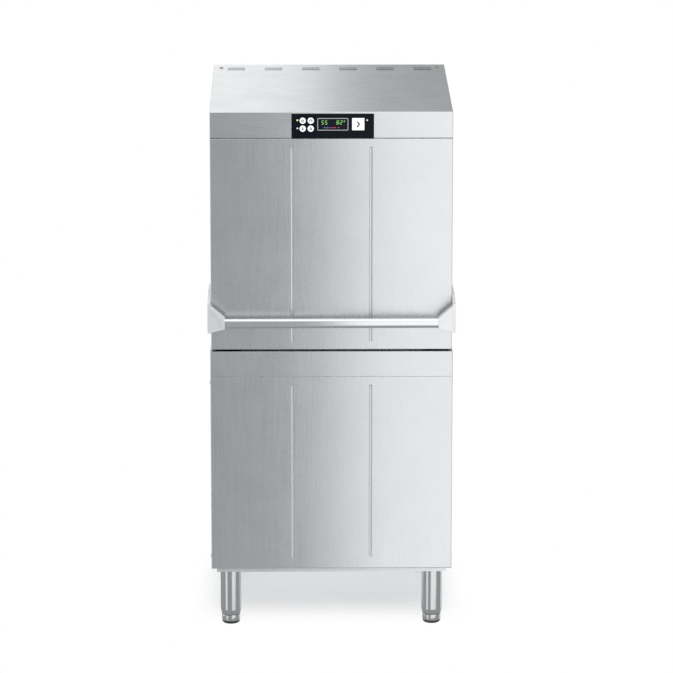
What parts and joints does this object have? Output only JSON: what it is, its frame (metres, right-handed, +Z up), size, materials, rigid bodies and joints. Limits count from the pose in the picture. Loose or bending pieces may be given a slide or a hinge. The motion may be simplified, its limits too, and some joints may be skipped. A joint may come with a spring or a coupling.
{
  "type": "commercial dishwasher",
  "caption": "Pass-through hood-type commercial dishwasher: lifting stainless hood with front tube handle, control strip, wash tank base on four adjustable legs.",
  "frame": {"origin": "on the floor under the centre of the whole machine", "axes": "+Z up, the operator stands on the -Y side, +X is to the operator's right"},
  "size_m": [0.7108, 0.81, 1.5827],
  "materials": {
    "steel_panels": "satin brushed stainless steel",
    "steel_chassis": "plain stainless sheet",
    "steel_tank": "bright rolled stainless sheet",
    "steel_tube": "polished tube",
    "casting": "satin cast and tumbled",
    "leg_steel": "turned tube",
    "foot_rubber": "matt black rubber over steel",
    "screw_steel": "bright",
    "fascia_black": "high gloss black",
    "display_glass": "smoked window",
    "button_white": "satin white",
    "pump_plastic": "glass-filled moulding",
    "motor_cast": "painted casting",
    "pipe_plastic": "moulded elbow",
    "spring_steel": "oiled spring wire",
    "nylon": "natural nylon",
    "brass_fitting": "turned brass",
    "box_grey": "zinc-plated tray"
  },
  "bodies": {
    "chassis": {"base_front_panel": "steel_panels", "base_left_panel": "steel_panels", "base_rear_panel": "steel_panels", "base_right_panel": "steel_panels", "base_screws": "screw_steel", "base_top_band": "steel_panels", "boiler_heater": "steel_tube", "boiler_shell": "steel_tank", "cable_gland": "pump_plastic", "chassis_frame": "steel_chassis", "column_shell": "steel_panels", "contactors": "pump_plastic", "delivery_pipe": "pipe_plastic", "drain_outlet": "pipe_plastic", "electrical_box": "box_grey", "guide_rails": "steel_chassis", "inlet_valve": "brass_fitting", "leg_tubes": "leg_steel", "lift_springs": "spring_steel", "lower_arm_manifold": "steel_tube", "rack_frame": "steel_tube", "rinse_aid_pump_body": "pump_plastic", "strainer_basket": "steel_tank", "tank_filters": "steel_tank", "tank_heater": "steel_tube", "upper_arm_manifold": "steel_tube", "wash_pump_housing": "pump_plastic", "wash_pump_motor": "motor_cast", "wash_tank": "steel_tank", "water_inlet": "brass_fitting"},
    "hood": {"hood_liner": "steel_tank", "roof_cover": "steel_panels", "hood_front_panel": "steel_panels", "hood_left_panel": "steel_panels", "hood_right_panel": "steel_panels", "handle_tube": "steel_tube", "handle_casting_left": "casting", "handle_casting_right": "casting", "control_fascia": "fascia_black", "display_module": "display_glass", "hood_screws": "screw_steel", "hood_carriage": "steel_chassis"},
    "guide_roller_left": {"guide_roller_left": "nylon"},
    "guide_roller_right": {"guide_roller_right": "nylon"},
    "button_power": {"button_power": "button_white"},
    "button_program": {"button_program": "button_white"},
    "button_drain": {"button_drain": "button_white"},
    "button_rinse": {"button_rinse": "button_white"},
    "button_start": {"button_start": "button_white"},
    "lower_wash_arm": {"lower_wash_arm": "steel_tube"},
    "lower_rinse_arm": {"lower_rinse_arm": "steel_tube"},
    "upper_wash_arm": {"upper_wash_arm": "steel_tube"},
    "upper_rinse_arm": {"upper_rinse_arm": "steel_tube"},
    "pump_impeller": {"wash_pump_impeller": "pump_plastic"},
    "rinse_aid_rotor": {"rinse_aid_pump_rotor": "pump_plastic"},
    "standpipe": {"overflow_standpipe": "steel_tube"},
    "foot_front_left": {"levelling_foot_front_left": "foot_rubber"},
    "foot_rear_left": {"levelling_foot_rear_left": "foot_rubber"},
    "foot_front_right": {"levelling_foot_front_right": "foot_rubber"},
    "foot_rear_right": {"levelling_foot_rear_right": "foot_rubber"}
  },
  "joints": [
    {"name": "hood_lift", "type": "slide", "parent": "chassis", "child": "hood", "axis": [0, 0, 1], "range_m": [0, 0.43], "stiffness_N_per_m": 250, "springref_m": 1.8, "deforming": ["lift_springs"]},
    {"name": "guide_roller_left_spin", "type": "hinge", "parent": "hood", "child": "guide_roller_left", "pos_m": [-0.3185, 0.3025, 0.891], "axis": [1, 0, 0], "range_deg": [-5, 1455]},
    {"name": "guide_roller_right_spin", "type": "hinge", "parent": "hood", "child": "guide_roller_right", "pos_m": [0.3185, 0.3025, 0.891], "axis": [1, 0, 0], "range_deg": [-5, 1455]},
    {"name": "power_press", "type": "slide", "parent": "hood", "child": "button_power", "axis": [0, 1, 0], "range_m": [0, 0.0015], "stiffness_N_per_m": 900, "springref_m": -0.0008},
    {"name": "program_press", "type": "slide", "parent": "hood", "child": "button_program", "axis": [0, 1, 0], "range_m": [0, 0.0015], "stiffness_N_per_m": 900, "springref_m": -0.0008},
    {"name": "drain_press", "type": "slide", "parent": "hood", "child": "button_drain", "axis": [0, 1, 0], "range_m": [0, 0.0015], "stiffness_N_per_m": 900, "springref_m": -0.0008},
    {"name": "rinse_press", "type": "slide", "parent": "hood", "child": "button_rinse", "axis": [0, 1, 0], "range_m": [0, 0.0015], "stiffness_N_per_m": 900, "springref_m": -0.0008},
    {"name": "start_press", "type": "slide", "parent": "hood", "child": "button_start", "axis": [0, 1, 0], "range_m": [0, 0.0015], "stiffness_N_per_m": 1200, "springref_m": -0.0008},
    {"name": "lower_wash_arm_spin", "type": "hinge", "parent": "chassis", "child": "lower_wash_arm", "pos_m": [0, -0.042, 0.777], "axis": [0, 0, 1], "continuous": true},
    {"name": "lower_rinse_arm_spin", "type": "hinge", "parent": "chassis", "child": "lower_rinse_arm", "pos_m": [0, -0.042, 0.8025], "axis": [0, 0, 1], "continuous": true},
    {"name": "upper_wash_arm_spin", "type": "hinge", "parent": "chassis", "child": "upper_wash_arm", "pos_m": [0, -0.042, 1.366], "axis": [0, 0, 1], "continuous": true},
    {"name": "upper_rinse_arm_spin", "type": "hinge", "parent": "chassis", "child": "upper_rinse_arm", "pos_m": [0, -0.042, 1.33975], "axis": [0, 0, 1], "continuous": true},
    {"name": "pump_impeller_spin", "type": "hinge", "parent": "chassis", "child": "pump_impeller", "pos_m": [-0.13, 0.06, 0.346], "axis": [0, 1, 0], "continuous": true},
    {"name": "rinse_aid_rotor_spin", "type": "hinge", "parent": "chassis", "child": "rinse_aid_rotor", "pos_m": [-0.23, -0.28, 0.316], "axis": [0, 1, 0], "continuous": true},
    {"name": "standpipe_lift", "type": "slide", "parent": "chassis", "child": "standpipe", "axis": [0, 0, 1], "range_m": [0, 0.25]},
    {"name": "foot_front_left_screw", "type": "slide", "parent": "chassis", "child": "foot_front_left", "axis": [0, 0, -1], "range_m": [0, 0.035]},
    {"name": "foot_rear_left_screw", "type": "slide", "parent": "chassis", "child": "foot_rear_left", "axis": [0, 0, -1], "range_m": [0, 0.035]},
    {"name": "foot_front_right_screw", "type": "slide", "parent": "chassis", "child": "foot_front_right", "axis": [0, 0, -1], "range_m": [0, 0.035]},
    {"name": "foot_rear_right_screw", "type": "slide", "parent": "chassis", "child": "foot_rear_right", "axis": [0, 0, -1], "range_m": [0, 0.035]}
  ],
  "couplings": [
    {"joint": "guide_roller_left_spin", "follows": "hood_lift", "rad_per_m": 58.824},
    {"joint": "guide_roller_right_spin", "follows": "hood_lift", "rad_per_m": 58.824}
  ]
}
